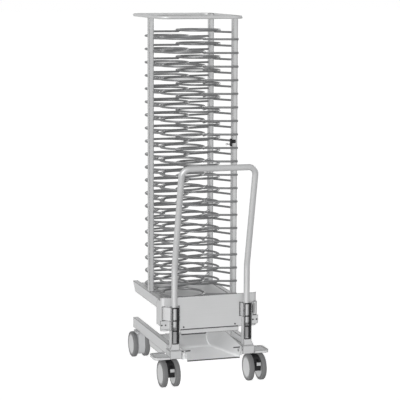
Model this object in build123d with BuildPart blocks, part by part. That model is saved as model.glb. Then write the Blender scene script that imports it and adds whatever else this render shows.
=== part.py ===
from build123d import *
from math import hypot
import os

# Mobile plate rack: a welded tower of wire plate rings on a cantilevered trolley.
# Millimetres. The origin is on the floor, at the middle of the rack's plan.
# The push handle is at the front, towards -Y. +X is to the right and +Z is up.

os.makedirs("parts", exist_ok=True)

# Plate tower
level_count = 20
lowest_ring_lift = 4.5
top_ring_drop = 78.0
ring_wire = 8.0
ring_weld = 0.5
ring_radius = 102.0
ring_sides = 16
right_ring_x = 56.0
left_ring_x = 60.0
ring_offset_y = 125.5
tower_y = 120.0
post_size = 25.0
post_wall = 2.0
post_corner = 2.5
post_x = 176.5
post_spread_y = 177.0
post_top_z = 1672.0
spoke_bend_room = 4.0
hoop_rod = 15.0
hoop_drop = 6.0
hoop_half_depth = 245.5
hoop_corner = 42.0
hoop_weld_gap = 0.2

# Upper frame, which stands inside the cabinet
upper_rail_height = 47.0
upper_rail_wall = 3.0
upper_rail_top = 361.0
upper_rail_back = 397.0
upper_rail_slant = 42.0
base_plate_sheet = 2.0
base_plate_drop = 2.0
base_plate_weld_gap = 0.2
upper_bar_depth = 25.0
upper_bar_inset = 52.0
upper_bar_wall = 2.0

# Apron, the folded sheet that closes the mouth of the cabinet
apron_front = -241.0
apron_sheet = 2.0
apron_half_width = 231.0
apron_corner = 18.0
apron_return = 78.0
apron_bottom = 249.0
apron_top = 405.0
apron_return_lift = 21.0
apron_return_drop = 15.0
apron_return_round = 35.0
hem_half_width = 140.0
hem_drop = 18.0
hem_lap = 2.0
hem_proud = 3.0

# Uprights, which are also the sockets of the handle
upright_x = 173.5
upright_width = 38.0
upright_depth = 37.0
upright_wall = 3.0
upright_top = 364.0
socket_mouth = 26.0
socket_sill = 195.0
shelf_top = 257.7
shelf_height = 5.0
collar_height = 5.0
collar_top_gap = 0.5
collar_clearance = 0.3
gusset_reach = 11.0
gusset_height = 22.0
gusset_sheet = 6.0

# Wings beside the sockets, lugs and screws
wing_sheet = 2.5
wing_bottom = 300.0
wing_height = 64.0
wing_flank = 10.0
wing_outer_joggle = 22.0
wing_outer_flat = 13.0
wing_outer_bend = 6.0
wing_inner_joggle = 4.0
wing_inner_flat = 5.0
wing_inner_bend = 3.0
wing_slot_x = 10.0
wing_slot_width = 6.0
wing_slot_height = 38.0
lug_bottom = 257.0
lug_height = 42.0
lug_reach = 44.0
lug_bend = 5.0
lug_corner = 8.0
lug_screw_edge = 7.5
lug_screw_pitch = 18.0
screw_head = 8.0
screw_head_height = 2.2
apron_screw_x = 133.0
apron_screw_z = 259.0

# Handle
handle_tube = 28.0
handle_wall = 2.0
handle_rest_gap = 0.3
handle_bend_z = 540.0
handle_bar_y = -371.0
handle_bar_z = 1007.0
handle_bend_radius = 120.0
handle_corner_radius = 36.0
handle_plug = 12.0

# Lower chassis, which rolls under the cabinet
chassis_bottom = 136.0
rail_width = 24.0
rail_height = 50.0
rail_wall = 3.0
rail_x = 187.0
rail_back = 358.0
skid_front = -150.0
skid_back = 80.0
skid_drop = 28.0
skid_sheet = 4.0
skid_inset = 2.0
skid_front_round = 8.0
skid_back_round = 26.0
foot_tray_gap = 9.0
foot_outer = 262.0
foot_front = -287.0
foot_back = -225.0
foot_bottom = 128.0
foot_plate = 4.0
block_outer = 203.0
block_front = -289.0
block_height = 37.0
block_round = 3.0
bumper_outer = 275.5
bumper_front = -293.0
bumper_back = -194.0
bumper_height = 12.5
bumper_corner = 18.0
bumper_rim = 8.0
bumper_recess = 4.0
bumper_clearance = 0.3
cross_front = 20.0
cross_depth = 25.0
cross_drop = 16.0
cross_wall = 2.0

# Drip tray
tray_sheet = 2.0
tray_floor = 118.0
tray_front = -305.0
tray_floor_front_half = 127.0
tray_floor_back_half = 62.0
tray_floor_back = -65.0
tray_top_front_half = 138.0
tray_top_back_half = 165.0
tray_top_back = 20.0
tray_corner = 34.0
tray_flange_half = 128.0
tray_rest_gap = 0.3
tray_pin = 10.0
tray_pin_y = -279.0
tray_pin_z = 146.0
tray_pin_clearance = 0.05
ear_lap = 11.0
ear_foot_gap = 3.0
ear_radius = 9.0
ear_bottom = 122.0

# Casters
caster_front_x = 207.0
caster_front_y = -246.0
caster_rear_x = 183.0
caster_rear_y = 277.0
caster_trail = 33.0
wheel_diameter = 125.0
tyre_width = 23.0
tyre_inner_radius = 50.0
tyre_chamfer = 4.0
tyre_clearance = 0.05
wheel_gap = 36.0
hub_dish = 1.5
hub_rim = 5.0
hub_wall = 4.0
axle_diameter = 10.0
axle_clearance = 0.05
axle_end_gap = 0.5
plate_size = 58.0
plate_thickness = 2.5
plate_corner = 6.0
plate_gap = 0.3
kingpin = 14.0
kingpin_length = 28.0
kingpin_clearance = 0.05
crown_diameter = 32.0
crown_thickness = 4.0
web_width = 33.0
web_radius = 55.0
web_floor = 20.0
braked_web_floor = 53.0
neck_depth = 40.0
pedal_pivot_step = 24.0
pedal_pivot_z = 92.0
pedal_pin = 5.0
pedal_pin_clearance = 0.05
pedal_slot = 16.0
pedal_side_gap = 0.5
pedal_pin_end_gap = 0.5
pedal_hub = 18.0
pedal_arm = 10.0
pedal_pad_front = 60.0
pedal_pad_thickness = 6.0
pedal_pad_width = 22.0
pedal_pad_bottom = 70.0
pedal_pad_height = 28.0
pedal_room_front = 44.0
pedal_room_top = 116.0
pedal_slot_back = 12.0
pedal_slot_bottom = 70.0
pedal_slot_top = 106.0

# Probe clip on the front right post
clip_level = 11
clip_lift = 8.5
clip_height = 35.0
clip_block = 8.0
clip_depth = 14.0
clip_strap = 3.0
clip_strap_reach = 16.0
clip_strap_lift = 15.0
clip_strap_height = 16.0
clip_stem = 4.0
clip_stem_length = 13.0
clip_stem_lift = 10.0
clip_eye_radius = 4.0
clip_eye_wire = 2.0

# Places that follow from the sizes above
sides = {"left": -1, "right": 1}
posts = {
    "front_right": (post_x, tower_y - post_spread_y),
    "rear_right": (post_x, tower_y + post_spread_y),
    "left": (-post_x, tower_y),
}
lowest_ring_z = upper_rail_top + lowest_ring_lift
level_pitch = (post_top_z - top_ring_drop - lowest_ring_z) / (level_count - 0.5)
post_outer = post_x + post_size / 2
post_inner = post_x - post_size / 2
apron_back = apron_front + apron_sheet
upright_y = apron_front - upright_depth / 2
upright_front = apron_front - upright_depth
upright_outer = upright_x + upright_width / 2
upright_inner = upright_x - upright_width / 2
rail_outer = rail_x + rail_width / 2
rail_top = chassis_bottom + rail_height
foot_inner = tray_top_front_half + foot_tray_gap
block_top = foot_bottom + block_height
wheel_radius = wheel_diameter / 2
plate_bottom = foot_bottom - plate_thickness
crown_top = plate_bottom - plate_gap
crown_bottom = crown_top - crown_thickness
casters = {
    "front_left": (-caster_front_x, caster_front_y, -1),
    "front_right": (caster_front_x, caster_front_y, -1),
    "rear_left": (-caster_rear_x, caster_rear_y, 1),
    "rear_right": (caster_rear_x, caster_rear_y, 1),
}
low_middle = (Align.CENTER, Align.CENTER, Align.MIN)
high_middle = (Align.CENTER, Align.CENTER, Align.MAX)

# Posts of the tower, square tubes welded on the upper rails
for name, place in posts.items():
    with BuildPart() as post:
        with BuildSketch(Plane.XY.offset(upper_rail_top)):
            with Locations(place):
                RectangleRounded(post_size, post_size, post_corner)
                Rectangle(post_size - 2 * post_wall, post_size - 2 * post_wall, mode=Mode.SUBTRACT)
        extrude(amount=post_top_z - upper_rail_top)
    post.part.label = f"post_{name}"
    export_step(post.part, f"parts/post_{name}.step")

# Hoop of round rod around the heads of the posts
hoop_half_width = post_outer + hoop_weld_gap + hoop_rod / 2
with BuildPart() as top_hoop:
    with BuildLine(Plane.XY.offset(post_top_z - hoop_drop)) as hoop_line:
        FilletPolyline(
            (-hoop_half_width, tower_y - hoop_half_depth),
            (hoop_half_width, tower_y - hoop_half_depth),
            (hoop_half_width, tower_y + hoop_half_depth),
            (-hoop_half_width, tower_y + hoop_half_depth),
            radius=hoop_corner,
            close=True,
        )
    with BuildSketch(hoop_line.line ^ 0):
        Circle(hoop_rod / 2)
    sweep()
top_hoop.part.label = "top_hoop"
export_step(top_hoop.part, "parts/top_hoop.step")

# Plate rings. The front and rear stacks share their levels, and the right stack stands half a
# level higher. Each ring is welded on wires that run to the posts beside it, and the front
# stack's wires bend to lie across the outer face of the front right post.
right_centre = (right_ring_x, tower_y)
front_centre = (-left_ring_x, tower_y - ring_offset_y)
rear_centre = (-left_ring_x, tower_y + ring_offset_y)
lap = (post_size + ring_wire) / 2
bend_x = post_inner - spoke_bend_room
front_lap_y = posts["front_right"][1] - lap
stacks = {
    "right": (right_centre, [[place] for place in posts.values()], level_pitch / 2),
    "front": (front_centre, [[(bend_x, front_lap_y), (post_outer, front_lap_y)], [posts["left"]]], 0),
    "rear": (rear_centre, [[posts["rear_right"]], [posts["left"]]], 0),
}
for name, (centre, wires, lift) in stacks.items():
    wire_bottom = lowest_ring_z + lift - ring_wire / 2
    with BuildPart() as ring_level:
        with BuildSketch(Plane.XY.offset(wire_bottom)):
            for points in wires:
                run_x = points[0][0] - centre[0]
                run_y = points[0][1] - centre[1]
                share = (ring_radius - ring_wire / 2) / hypot(run_x, run_y)
                start = (centre[0] + share * run_x, centre[1] + share * run_y)
                with BuildLine():
                    Polyline(start, *points)
                trace(line_width=ring_wire)
            with Locations(*posts.values()):
                Rectangle(post_size, post_size, mode=Mode.SUBTRACT)
            with Locations((post_outer, front_lap_y)):
                Rectangle(ring_wire, 2 * ring_wire, align=(Align.MIN, Align.CENTER), mode=Mode.SUBTRACT)
        extrude(amount=ring_wire)
        with BuildSketch(Plane.XY.offset(wire_bottom + ring_wire - ring_weld)):
            with Locations(centre):
                RegularPolygon(ring_radius + ring_wire / 2, ring_sides)
                RegularPolygon(ring_radius - ring_wire / 2, ring_sides, mode=Mode.SUBTRACT)
        extrude(amount=ring_wire)
    with BuildPart() as plate_rings:
        with Locations(*[(0, 0, level_pitch * level) for level in range(level_count)]):
            add(ring_level.part)
    plate_rings.part.label = f"plate_rings_{name}"
    export_step(plate_rings.part, f"parts/plate_rings_{name}.step")

# Upper rails: channels open to the inside, with their back ends cut on a slant
upper_rail_bottom = upper_rail_top - upper_rail_height
for side, sign in sides.items():
    with BuildPart() as upper_rail:
        with BuildSketch(Plane.YZ.offset(sign * post_inner)):
            with BuildLine():
                Polyline(
                    (apron_back, upper_rail_top),
                    (upper_rail_back, upper_rail_top),
                    (upper_rail_back - upper_rail_slant, upper_rail_bottom),
                    (apron_back, upper_rail_bottom),
                    close=True,
                )
            make_face()
        extrude(amount=sign * post_size)
        with BuildSketch(Plane.YZ.offset(sign * post_inner)):
            with BuildLine():
                Polyline(
                    (apron_back, upper_rail_top - upper_rail_wall),
                    (upper_rail_back, upper_rail_top - upper_rail_wall),
                    (upper_rail_back, upper_rail_bottom + upper_rail_wall),
                    (apron_back, upper_rail_bottom + upper_rail_wall),
                    close=True,
                )
            make_face()
        extrude(amount=sign * (post_size - upper_rail_wall), mode=Mode.SUBTRACT)
    upper_rail.part.label = f"upper_rail_{side}"
    export_step(upper_rail.part, f"parts/upper_rail_{side}.step")

# Base plate, welded between the top flanges of the upper rails
base_top = upper_rail_top - base_plate_drop
base_half = post_inner - base_plate_weld_gap
base_back = upper_rail_back - upper_bar_inset
with BuildPart() as base_plate:
    with BuildSketch(Plane.XY.offset(base_top - base_plate_sheet)):
        with Locations((0, apron_back)):
            Rectangle(2 * base_half, base_back - apron_back, align=(Align.CENTER, Align.MIN))
    extrude(amount=base_plate_sheet)
base_plate.part.label = "base_plate"
export_step(base_plate.part, "parts/base_plate.step")

# Cross bar between the webs of the upper rails, under the back edge of the base plate
bar_bottom = upper_rail_bottom + upper_rail_wall
bar_height = base_top - base_plate_sheet - bar_bottom
bar_half = post_outer - upper_rail_wall
with BuildPart() as upper_cross_bar:
    with BuildSketch(Plane.YZ.offset(-bar_half)):
        with Locations((base_back - upper_bar_depth / 2, bar_bottom + bar_height / 2)):
            Rectangle(upper_bar_depth, bar_height)
            Rectangle(
                upper_bar_depth - 2 * upper_bar_wall, bar_height - 2 * upper_bar_wall, mode=Mode.SUBTRACT
            )
    extrude(amount=2 * bar_half)
upper_cross_bar.part.label = "upper_cross_bar"
export_step(upper_cross_bar.part, "parts/upper_cross_bar.step")

# Apron: one sheet folded back at both sides, with a folded hem along the bottom
return_end = apron_front + apron_return
sheet_x = apron_half_width - apron_sheet / 2
sheet_y = apron_front + apron_sheet / 2
with BuildPart() as apron:
    with BuildSketch(Plane.XY.offset(apron_bottom)):
        with BuildLine():
            FilletPolyline(
                (-sheet_x, return_end),
                (-sheet_x, sheet_y),
                (sheet_x, sheet_y),
                (sheet_x, return_end),
                radius=apron_corner - apron_sheet / 2,
            )
        trace(line_width=apron_sheet)
    extrude(amount=apron_top - apron_bottom)
    with Locations((0, apron_front + apron_corner, apron_bottom)):
        Box(
            2 * apron_half_width,
            apron_return,
            apron_return_lift,
            align=(Align.CENTER, Align.MIN, Align.MIN),
            mode=Mode.SUBTRACT,
        )
    with Locations((0, apron_front + apron_corner, apron_top)):
        Box(
            2 * apron_half_width,
            apron_return,
            apron_return_drop,
            align=(Align.CENTER, Align.MIN, Align.MAX),
            mode=Mode.SUBTRACT,
        )
    back_corners = apron.edges().filter_by(Axis.X).group_by(Axis.Y)[-1].group_by(Axis.Z)[-1]
    fillet(back_corners, apron_return_round)
    with BuildSketch(Plane.YZ.offset(-hem_half_width)):
        with BuildLine():
            Polyline(
                (apron_back, apron_bottom),
                (apron_back, apron_bottom - hem_drop),
                (apron_front - hem_proud, apron_bottom - hem_drop),
                (apron_front - hem_proud, apron_bottom + hem_lap),
                (apron_front, apron_bottom + hem_lap),
                (apron_front, apron_bottom),
                close=True,
            )
        make_face()
    extrude(amount=2 * hem_half_width)
apron.part.label = "apron"
export_step(apron.part, "parts/apron.step")

# Uprights: channels open to the front, with a closed foot, a shelf and two collars for the leg
cavity_width = upright_width - 2 * upright_wall
cavity_depth = upright_depth - 2 * upright_wall
collar_levels = (wing_bottom, upright_top - collar_height - collar_top_gap)
for side, sign in sides.items():
    with BuildPart() as upright:
        with BuildSketch(Plane.XY.offset(block_top)):
            with Locations((sign * upright_x, upright_y)):
                Rectangle(upright_width, upright_depth)
                Rectangle(cavity_width, cavity_depth, mode=Mode.SUBTRACT)
        extrude(amount=upright_top - block_top)
        with Locations((sign * upright_x, upright_front, socket_sill)):
            Box(
                socket_mouth,
                2 * upright_wall,
                upright_top - socket_sill,
                align=low_middle,
                mode=Mode.SUBTRACT,
            )
        with Locations((sign * upright_x, upright_y, shelf_top)):
            Box(cavity_width, cavity_depth, shelf_height, align=high_middle)
        for level in collar_levels:
            with BuildSketch(Plane.XY.offset(level)):
                with Locations((sign * upright_x, upright_y)):
                    Rectangle(cavity_width, cavity_depth)
                    Circle(handle_tube / 2 + collar_clearance, mode=Mode.SUBTRACT)
            extrude(amount=collar_height)
        with BuildSketch(Plane.XZ.offset(-upright_front)):
            with BuildLine():
                Polyline(
                    (sign * upright_outer, block_top),
                    (sign * (upright_outer + gusset_reach), block_top),
                    (sign * upright_outer, block_top + gusset_height),
                    close=True,
                )
            make_face()
        extrude(amount=-gusset_sheet)
    upright.part.label = f"upright_{side}"
    export_step(upright.part, f"parts/upright_{side}.step")

# Wings: joggled sheets from the flanks of each socket to the face of the apron
wing_y = apron_front - wing_sheet / 2
wing_start = upright_front + upright_wall
for side, sign in sides.items():
    with BuildPart() as socket_wings:
        for flank, way, joggle, flat, bend in (
            (sign * upright_outer, sign, wing_outer_joggle, wing_outer_flat, wing_outer_bend),
            (sign * upright_inner, -sign, wing_inner_joggle, wing_inner_flat, wing_inner_bend),
        ):
            with BuildSketch(Plane.XY.offset(wing_bottom)):
                with BuildLine():
                    FilletPolyline(
                        (flank + way * wing_sheet / 2, wing_start),
                        (flank + way * wing_sheet / 2, wing_start + wing_flank),
                        (flank + way * joggle, wing_y),
                        (flank + way * (joggle + flat), wing_y),
                        radius=bend,
                    )
                trace(line_width=wing_sheet)
            extrude(amount=wing_height)
        if side == "right":
            with Locations((upright_outer + wing_slot_x, wing_y, wing_bottom + wing_height / 2)):
                Box(wing_slot_width, 2 * upright_depth, wing_slot_height, mode=Mode.SUBTRACT)
    socket_wings.part.label = f"socket_wings_{side}"
    export_step(socket_wings.part, f"parts/socket_wings_{side}.step")

# Lugs: angles under the wings, from the outer flanks of the sockets across the apron
with BuildPart() as apron_lugs:
    for sign in sides.values():
        with BuildSketch(Plane.XY.offset(lug_bottom)):
            with BuildLine():
                FilletPolyline(
                    (sign * (upright_outer + wing_sheet / 2), wing_start),
                    (sign * (upright_outer + wing_sheet / 2), wing_y),
                    (sign * (upright_outer + lug_reach), wing_y),
                    radius=lug_bend,
                )
            trace(line_width=wing_sheet)
        extrude(amount=lug_height)
    for end in (0, -1):
        lower_corner = apron_lugs.edges().filter_by(Axis.Y).group_by(Axis.X)[end].sort_by(Axis.Z)[0]
        fillet(lower_corner, lug_corner)
apron_lugs.part.label = "apron_lugs"
export_step(apron_lugs.part, "parts/apron_lugs.step")

# Screw heads of the lugs and the apron
lug_screw_end = lug_reach - lug_screw_edge
lug_screws = [
    (sign * (upright_outer + step), lug_bottom + lug_height / 2)
    for sign in sides.values()
    for step in (lug_screw_end - lug_screw_pitch, lug_screw_end)
]
apron_screw_places = [(sign * apron_screw_x, apron_screw_z) for sign in sides.values()]
with BuildPart() as apron_screws:
    with BuildSketch(Plane.XZ.offset(wing_sheet - apron_front)):
        with Locations(*lug_screws):
            Circle(screw_head / 2)
    extrude(amount=screw_head_height)
    with BuildSketch(Plane.XZ.offset(-apron_front)):
        with Locations(*apron_screw_places):
            Circle(screw_head / 2)
    extrude(amount=screw_head_height)
apron_screws.part.label = "apron_screws"
export_step(apron_screws.part, "parts/apron_screws.step")

# Push handle: a bent tube whose legs stand in the sockets, with rounded plugs in their ends
leg_end = shelf_top + handle_rest_gap + handle_tube / 2
with BuildPart() as push_handle:
    with BuildLine() as handle_line:
        FilletPolyline(
            (-upright_x, upright_y, leg_end),
            (-upright_x, upright_y, handle_bend_z),
            (-upright_x, handle_bar_y, handle_bar_z),
            (upright_x, handle_bar_y, handle_bar_z),
            (upright_x, upright_y, handle_bend_z),
            (upright_x, upright_y, leg_end),
            radius=[handle_bend_radius, handle_corner_radius, handle_corner_radius, handle_bend_radius],
        )
    with BuildSketch(handle_line.line ^ 0):
        Circle(handle_tube / 2)
        Circle(handle_tube / 2 - handle_wall, mode=Mode.SUBTRACT)
    sweep()
    with Locations(*[(sign * upright_x, upright_y, leg_end) for sign in sides.values()]):
        Sphere(handle_tube / 2, arc_size2=0)
        Cylinder(handle_tube / 2, handle_plug, align=low_middle)
push_handle.part.label = "push_handle"
export_step(push_handle.part, "parts/push_handle.step")

# Chassis rails: channels open to the inside, closed at the back, each with a skid plate below
for side, sign in sides.items():
    with BuildPart() as chassis_rail:
        with BuildSketch(Plane.XZ.offset(-foot_back)):
            with Locations((sign * rail_x, chassis_bottom + rail_height / 2)):
                Rectangle(rail_width, rail_height)
        extrude(amount=-(rail_back - foot_back))
        with BuildSketch(Plane.XZ.offset(-foot_back)):
            with Locations((sign * (rail_x - rail_wall), chassis_bottom + rail_height / 2)):
                Rectangle(rail_width, rail_height - 2 * rail_wall)
        extrude(amount=-(rail_back - foot_back - rail_wall), mode=Mode.SUBTRACT)
        with BuildSketch(Plane.YZ.offset(sign * (rail_outer - skid_inset))):
            with BuildLine():
                FilletPolyline(
                    (skid_front, chassis_bottom),
                    (skid_front, chassis_bottom - skid_drop),
                    (skid_back, chassis_bottom - skid_drop),
                    (skid_back, chassis_bottom),
                    radius=[skid_front_round, skid_back_round],
                )
                Line((skid_back, chassis_bottom), (skid_front, chassis_bottom))
            make_face()
        extrude(amount=-sign * skid_sheet)
    chassis_rail.part.label = f"chassis_rail_{side}"
    export_step(chassis_rail.part, f"parts/chassis_rail_{side}.step")

# Cross bar between the webs of the chassis rails, which carries the back of the drip tray
cross_top = rail_top - rail_wall - cross_drop
cross_bottom = chassis_bottom + rail_wall
cross_height = cross_top - cross_bottom
cross_half = rail_outer - rail_wall
with BuildPart() as chassis_cross_bar:
    with BuildSketch(Plane.YZ.offset(-cross_half)):
        with Locations((cross_front + cross_depth / 2, cross_bottom + cross_height / 2)):
            Rectangle(cross_depth, cross_height)
            Rectangle(cross_depth - 2 * cross_wall, cross_height - 2 * cross_wall, mode=Mode.SUBTRACT)
    extrude(amount=2 * cross_half)
chassis_cross_bar.part.label = "chassis_cross_bar"
export_step(chassis_cross_bar.part, "parts/chassis_cross_bar.step")

# Front feet: a plate over the caster with a raised block under the upright
for side, sign in sides.items():
    with BuildPart() as front_foot:
        with BuildSketch(Plane.XY.offset(foot_bottom)):
            with Locations((sign * (foot_inner + foot_outer) / 2, (foot_front + foot_back) / 2)):
                Rectangle(foot_outer - foot_inner, foot_back - foot_front)
        extrude(amount=foot_plate)
        with BuildSketch(Plane.XY.offset(foot_bottom)):
            with Locations((sign * (foot_inner + block_outer) / 2, (block_front + foot_back) / 2)):
                Rectangle(block_outer - foot_inner, foot_back - block_front)
        extrude(amount=block_height)
        top_front = front_foot.edges().filter_by(Axis.X).group_by(Axis.Z)[-1].sort_by(Axis.Y)[0]
        fillet(top_front, block_round)
    front_foot.part.label = f"front_foot_{side}"
    export_step(front_foot.part, f"parts/front_foot_{side}.step")

# Bumpers: caps over the outer ends of the foot plates, with a raised rim
bumper_inner = block_outer + bumper_clearance
bumper_width = bumper_outer - bumper_inner
bumper_depth = bumper_back - bumper_front
bumper_y = (bumper_front + bumper_back) / 2
for side, sign in sides.items():
    with BuildPart() as bumper:
        with BuildSketch(Plane.XY.offset(foot_bottom)) as bumper_plan:
            with Locations((sign * (bumper_inner + bumper_width / 2), bumper_y)):
                Rectangle(bumper_width, bumper_depth)
            fillet(bumper_plan.vertices().sort_by(Axis((0, 0, 0), (sign, 0, 0)))[-2:], bumper_corner)
        extrude(amount=bumper_height)
        with BuildSketch(Plane.XY.offset(foot_bottom + bumper_height)) as recess_plan:
            with Locations((sign * (bumper_inner + (bumper_width - bumper_rim) / 2), bumper_y)):
                Rectangle(bumper_width - bumper_rim, bumper_depth - 2 * bumper_rim)
            recess_corners = recess_plan.vertices().sort_by(Axis((0, 0, 0), (sign, 0, 0)))[-2:]
            fillet(recess_corners, bumper_corner - bumper_rim)
        extrude(amount=-bumper_recess, mode=Mode.SUBTRACT)
        pocket_width = foot_outer + bumper_clearance - bumper_inner
        with Locations((sign * (bumper_inner + pocket_width / 2), (foot_front + foot_back) / 2, foot_bottom)):
            Box(
                pocket_width,
                foot_back - foot_front + 2 * bumper_clearance,
                foot_plate + bumper_clearance,
                align=low_middle,
                mode=Mode.SUBTRACT,
            )
    bumper.part.label = f"bumper_{side}"
    export_step(bumper.part, f"parts/bumper_{side}.step")

# Drip tray: a sheet hopper, open at the front, whose back flange rests on the cross bar
flange_bottom = cross_top + tray_rest_gap
tray_top = flange_bottom + tray_sheet
cut_front = tray_front - tray_corner
ear_inner = min(tray_top_front_half - ear_lap, tray_floor_front_half)
ear_outer = foot_inner - ear_foot_gap
with BuildPart() as drip_tray:
    with BuildSketch(Plane.XY.offset(tray_floor)):
        with BuildLine():
            FilletPolyline(
                (-tray_floor_front_half, tray_front),
                (-tray_floor_back_half, tray_floor_back),
                (tray_floor_back_half, tray_floor_back),
                (tray_floor_front_half, tray_front),
                radius=tray_corner,
            )
            Line((tray_floor_front_half, tray_front), (-tray_floor_front_half, tray_front))
        make_face()
    with BuildSketch(Plane.XY.offset(tray_top)):
        with BuildLine():
            FilletPolyline(
                (-tray_top_front_half, tray_front),
                (-tray_top_back_half, tray_top_back),
                (tray_top_back_half, tray_top_back),
                (tray_top_front_half, tray_front),
                radius=tray_corner,
            )
            Line((tray_top_front_half, tray_front), (-tray_top_front_half, tray_front))
        make_face()
    loft(ruled=True)
    with BuildSketch(Plane.XY.offset(tray_floor + tray_sheet)):
        with BuildLine():
            FilletPolyline(
                (-tray_floor_front_half + tray_sheet, cut_front),
                (-tray_floor_front_half + tray_sheet, tray_front),
                (-tray_floor_back_half + tray_sheet, tray_floor_back - tray_sheet),
                (tray_floor_back_half - tray_sheet, tray_floor_back - tray_sheet),
                (tray_floor_front_half - tray_sheet, tray_front),
                (tray_floor_front_half - tray_sheet, cut_front),
                radius=[tray_sheet, tray_corner - tray_sheet, tray_corner - tray_sheet, tray_sheet],
            )
            Line(
                (tray_floor_front_half - tray_sheet, cut_front),
                (-tray_floor_front_half + tray_sheet, cut_front),
            )
        make_face()
    with BuildSketch(Plane.XY.offset(tray_top)):
        with BuildLine():
            FilletPolyline(
                (-tray_top_front_half + tray_sheet, cut_front),
                (-tray_top_front_half + tray_sheet, tray_front),
                (-tray_top_back_half + tray_sheet, tray_top_back - tray_sheet),
                (tray_top_back_half - tray_sheet, tray_top_back - tray_sheet),
                (tray_top_front_half - tray_sheet, tray_front),
                (tray_top_front_half - tray_sheet, cut_front),
                radius=[tray_sheet, tray_corner - tray_sheet, tray_corner - tray_sheet, tray_sheet],
            )
            Line(
                (tray_top_front_half - tray_sheet, cut_front),
                (-tray_top_front_half + tray_sheet, cut_front),
            )
        make_face()
    loft(ruled=True, mode=Mode.SUBTRACT)
    flange_front = tray_top_back - tray_sheet
    flange_depth = cross_front + cross_depth - flange_front
    with Locations((0, flange_front + flange_depth / 2, flange_bottom)):
        Box(2 * tray_flange_half, flange_depth, tray_sheet, align=low_middle)
    for sign in sides.values():
        with BuildSketch(Plane.YZ.offset(sign * ear_inner)):
            with Locations((tray_pin_y, tray_pin_z)):
                Circle(ear_radius)
            with Locations((tray_pin_y, (tray_pin_z + ear_bottom) / 2)):
                Rectangle(2 * ear_radius, tray_pin_z - ear_bottom)
        extrude(amount=sign * (ear_outer - ear_inner))
        with BuildSketch(Plane.YZ.offset(sign * (ear_inner - tray_sheet))):
            with Locations((tray_pin_y, tray_pin_z)):
                Circle(tray_pin / 2 + tray_pin_clearance)
        extrude(amount=sign * (foot_inner - ear_inner), mode=Mode.SUBTRACT)
drip_tray.part.label = "drip_tray"
export_step(drip_tray.part, "parts/drip_tray.step")

# Hinge pins of the tray, fixed in the inner faces of the feet
with BuildPart() as tray_hinge_pins:
    for sign in sides.values():
        with BuildSketch(Plane.YZ.offset(sign * ear_inner)):
            with Locations((tray_pin_y, tray_pin_z)):
                Circle(tray_pin / 2)
        extrude(amount=sign * (foot_inner - ear_inner))
tray_hinge_pins.part.label = "tray_hinge_pins"
export_step(tray_hinge_pins.part, "parts/tray_hinge_pins.step")

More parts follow.
